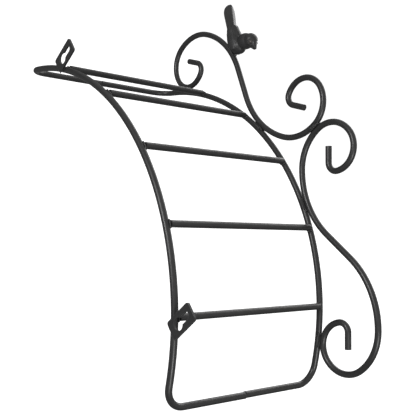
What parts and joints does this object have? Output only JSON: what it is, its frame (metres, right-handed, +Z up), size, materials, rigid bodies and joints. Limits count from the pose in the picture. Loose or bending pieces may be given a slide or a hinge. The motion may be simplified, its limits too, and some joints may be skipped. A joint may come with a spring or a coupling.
{
  "type": "wall rack",
  "caption": "Arched wall rack of bent black rod: two rails joined by cross bars, a pair of large scrolls on the front rail, a perched bird and keyhole plates for wall screws.",
  "frame": {"origin": "midway between the centres of the two keyhole plates' round holes, on the wall plane that the plates' backs lie on", "axes": "+X to the right as seen from the front of the rack, +Y into the wall, +Z up"},
  "size_m": [0.4466, 0.1997, 0.1915],
  "materials": {
    "coated_rod": "satin black powder coat on steel rod",
    "coated_plate": "satin black powder coat on steel sheet",
    "coated_weld": "satin black powder coat over weld beads",
    "coated_casting": "satin black powder coat on a small casting"
  },
  "bodies": {
    "root": {"wall_rail": "coated_rod", "front_rail": "coated_rod", "cross_bar_1": "coated_rod", "cross_bar_2": "coated_rod", "cross_bar_3": "coated_rod", "cross_bar_4": "coated_rod", "cross_bar_5": "coated_rod", "scroll_left": "coated_rod", "scroll_right": "coated_rod", "keyhole_plate_left": "coated_plate", "keyhole_plate_right": "coated_plate", "bar_welds_1": "coated_weld", "bar_welds_2": "coated_weld", "bar_welds_3": "coated_weld", "bar_welds_4": "coated_weld", "bar_welds_5": "coated_weld", "scroll_welds_left": "coated_weld", "scroll_welds_right": "coated_weld", "scroll_weld_centre": "coated_weld", "plate_weld_left": "coated_weld", "plate_weld_right": "coated_weld", "butt_weld_left": "coated_weld", "butt_weld_right": "coated_weld", "bird_weld": "coated_weld", "bird": "coated_casting"}
  },
  "joints": []
}
